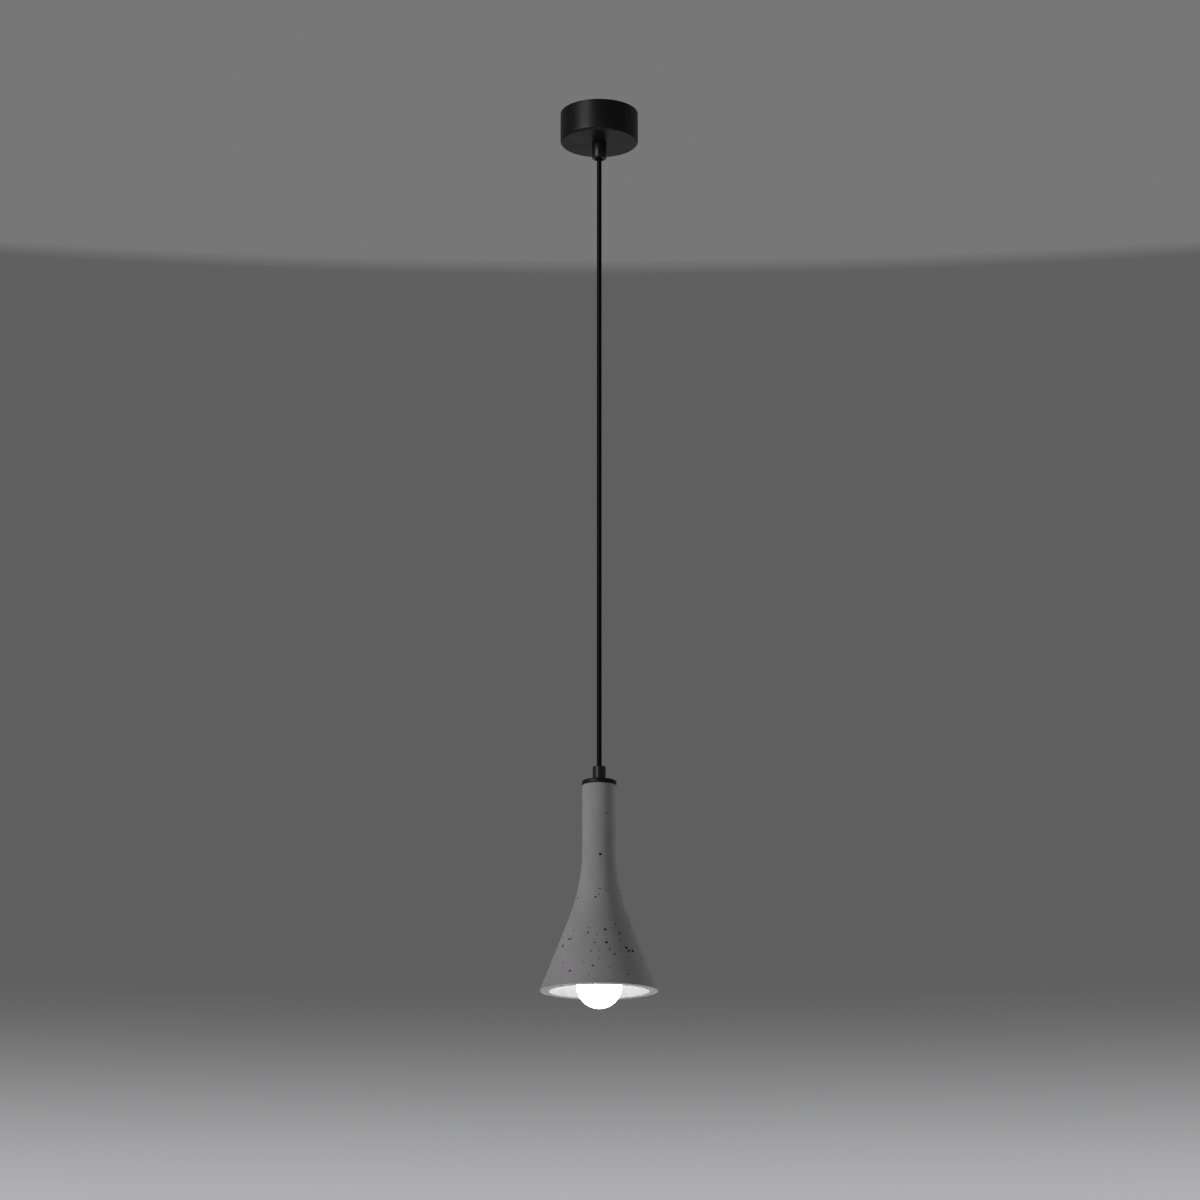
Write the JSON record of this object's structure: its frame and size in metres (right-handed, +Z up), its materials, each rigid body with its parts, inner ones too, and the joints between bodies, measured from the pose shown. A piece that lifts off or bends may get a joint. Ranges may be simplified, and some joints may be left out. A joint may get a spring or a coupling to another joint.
{
  "type": "pendant ceiling light",
  "caption": "Slim concrete trumpet pendant light on a straight black cable, with a round ceiling canopy, cord grips and a globe lamp in an Edison-screw holder.",
  "frame": {"origin": "centre of the bracket's top face, on the ceiling", "axes": "+Z up along the hanging axis, out of the bracket into the ceiling; +X along the bracket's two slots; -Y is the front"},
  "size_m": [0.1171, 0.1172, 0.9492],
  "materials": {
    "black_coat": "satin",
    "black_steel": "satin",
    "zinc_steel": "satin",
    "brass": "satin",
    "white_plastic": "satin",
    "brown_pvc": "satin",
    "blue_pvc": "satin",
    "green_pvc": "satin",
    "black_plastic": "satin",
    "cable_pvc": "satin",
    "black_rubber": "matte",
    "concrete": "matte",
    "holder_plastic": "satin",
    "nickel_shell": "polished",
    "opal_globe": "satin",
    "lamp_housing": "satin",
    "led_board": "satin",
    "led_chip": "gloss",
    "circuit_board": "satin",
    "black_glass": "gloss"
  },
  "bodies": {
    "canopy": {"canopy_cup": "black_coat", "ceiling_bracket": "zinc_steel", "side_screws": "black_steel", "earth_screw": "brass", "terminal_block": "white_plastic", "terminal_sleeves": "brass", "terminal_screws": "zinc_steel", "block_screws": "zinc_steel", "live_core": "brown_pvc", "neutral_core": "blue_pvc", "earth_core": "green_pvc", "canopy_nipple": "zinc_steel", "canopy_washer": "zinc_steel", "canopy_nut": "zinc_steel", "upper_gland": "black_plastic", "upper_gland_screw": "black_plastic", "canopy_cable_end": "cable_pvc"},
    "cable_bend_upper": {"cable_flex_upper": "cable_pvc"},
    "cable": {"suspension_cable_upper": "cable_pvc"},
    "cable_lower_half": {"suspension_cable_lower": "cable_pvc"},
    "cable_bend_lower": {"cable_flex_lower": "cable_pvc"},
    "shade": {"lower_gland": "black_plastic", "lower_gland_screw": "black_plastic", "shade_cable_end": "cable_pvc", "shade_cap": "black_coat", "cap_gasket": "black_rubber", "concrete_shade": "concrete", "threaded_rod": "zinc_steel", "ledge_gasket": "black_rubber", "ledge_washer": "zinc_steel", "ledge_nut": "zinc_steel", "holder_cap": "holder_plastic", "holder_skirt": "holder_plastic", "holder_insert": "white_plastic", "screw_shell": "nickel_shell", "centre_contact": "brass", "holder_screws": "brass", "holder_live_core": "brown_pvc", "holder_neutral_core": "blue_pvc"},
    "lamp_tip": {"lamp_insulator": "black_glass", "lamp_contact": "nickel_shell"},
    "lamp": {"lamp_globe": "opal_globe", "lamp_collar": "lamp_housing", "lamp_cap": "nickel_shell", "led_board": "led_board", "leds": "led_chip", "led_driver": "circuit_board"}
  },
  "joints": [
    {"name": "swing_side", "type": "hinge", "parent": "canopy", "child": "cable_bend_upper", "pos_m": [0, 0, -0.048], "axis": [0, 1, 0], "range_deg": [-20, 20]},
    {"name": "swing_front", "type": "hinge", "parent": "cable_bend_upper", "child": "cable", "pos_m": [0, 0, -0.048], "axis": [1, 0, 0], "range_deg": [-20, 20]},
    {"name": "cable_twist", "type": "hinge", "parent": "cable", "child": "cable_lower_half", "pos_m": [0, 0, -0.3782], "axis": [0, 0, 1], "range_deg": [-180, 180], "stiffness_Nm_per_rad": 0.002},
    {"name": "tilt_side", "type": "hinge", "parent": "cable_lower_half", "child": "cable_bend_lower", "pos_m": [0, 0, -0.7084], "axis": [0, 1, 0], "range_deg": [-20, 20]},
    {"name": "tilt_front", "type": "hinge", "parent": "cable_bend_lower", "child": "shade", "pos_m": [0, 0, -0.7084], "axis": [1, 0, 0], "range_deg": [-20, 20]},
    {"name": "lamp_travel", "type": "slide", "parent": "shade", "child": "lamp_tip", "axis": [0, 0, -1], "range_m": [0, 0.01814]},
    {"name": "lamp_turn", "type": "hinge", "parent": "lamp_tip", "child": "lamp", "pos_m": [0, 0, -0.88], "axis": [0, 0, -1], "range_deg": [0, 1800]}
  ],
  "couplings": [
    {"joint": "lamp_travel", "follows": "lamp_turn", "m_per_rad": 0.00057751}
  ]
}
